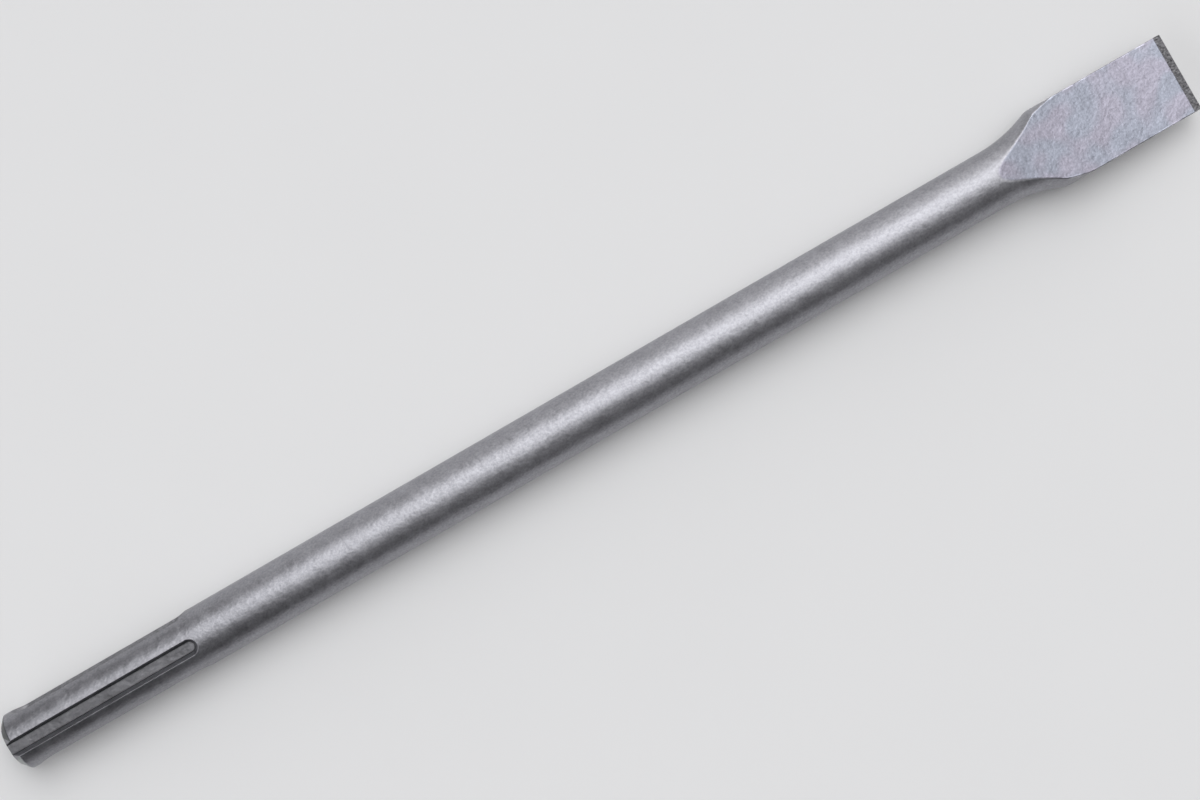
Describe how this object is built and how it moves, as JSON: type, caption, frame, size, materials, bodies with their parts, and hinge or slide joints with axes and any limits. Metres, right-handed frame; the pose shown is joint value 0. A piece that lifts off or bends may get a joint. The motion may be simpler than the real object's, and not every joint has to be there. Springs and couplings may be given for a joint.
{
  "type": "flat chisel",
  "caption": "Forged steel flat chisel for a rotary hammer: a round bar with drive and locking slots at its struck end and a flared, tapered blade with a straight cutting edge.",
  "frame": {"origin": "centre of the struck end face, on the bar's axis", "axes": "+X along the bar's axis from the struck end to the cutting edge, +Y across the blade, +Z out of the upper flat of the blade"},
  "size_m": [0.4, 0.0255, 0.018],
  "materials": {
    "forged_steel": "blasted matt steel, slots milled, edge ground"
  },
  "bodies": {
    "root": {"flat_chisel": "forged_steel"}
  },
  "joints": []
}
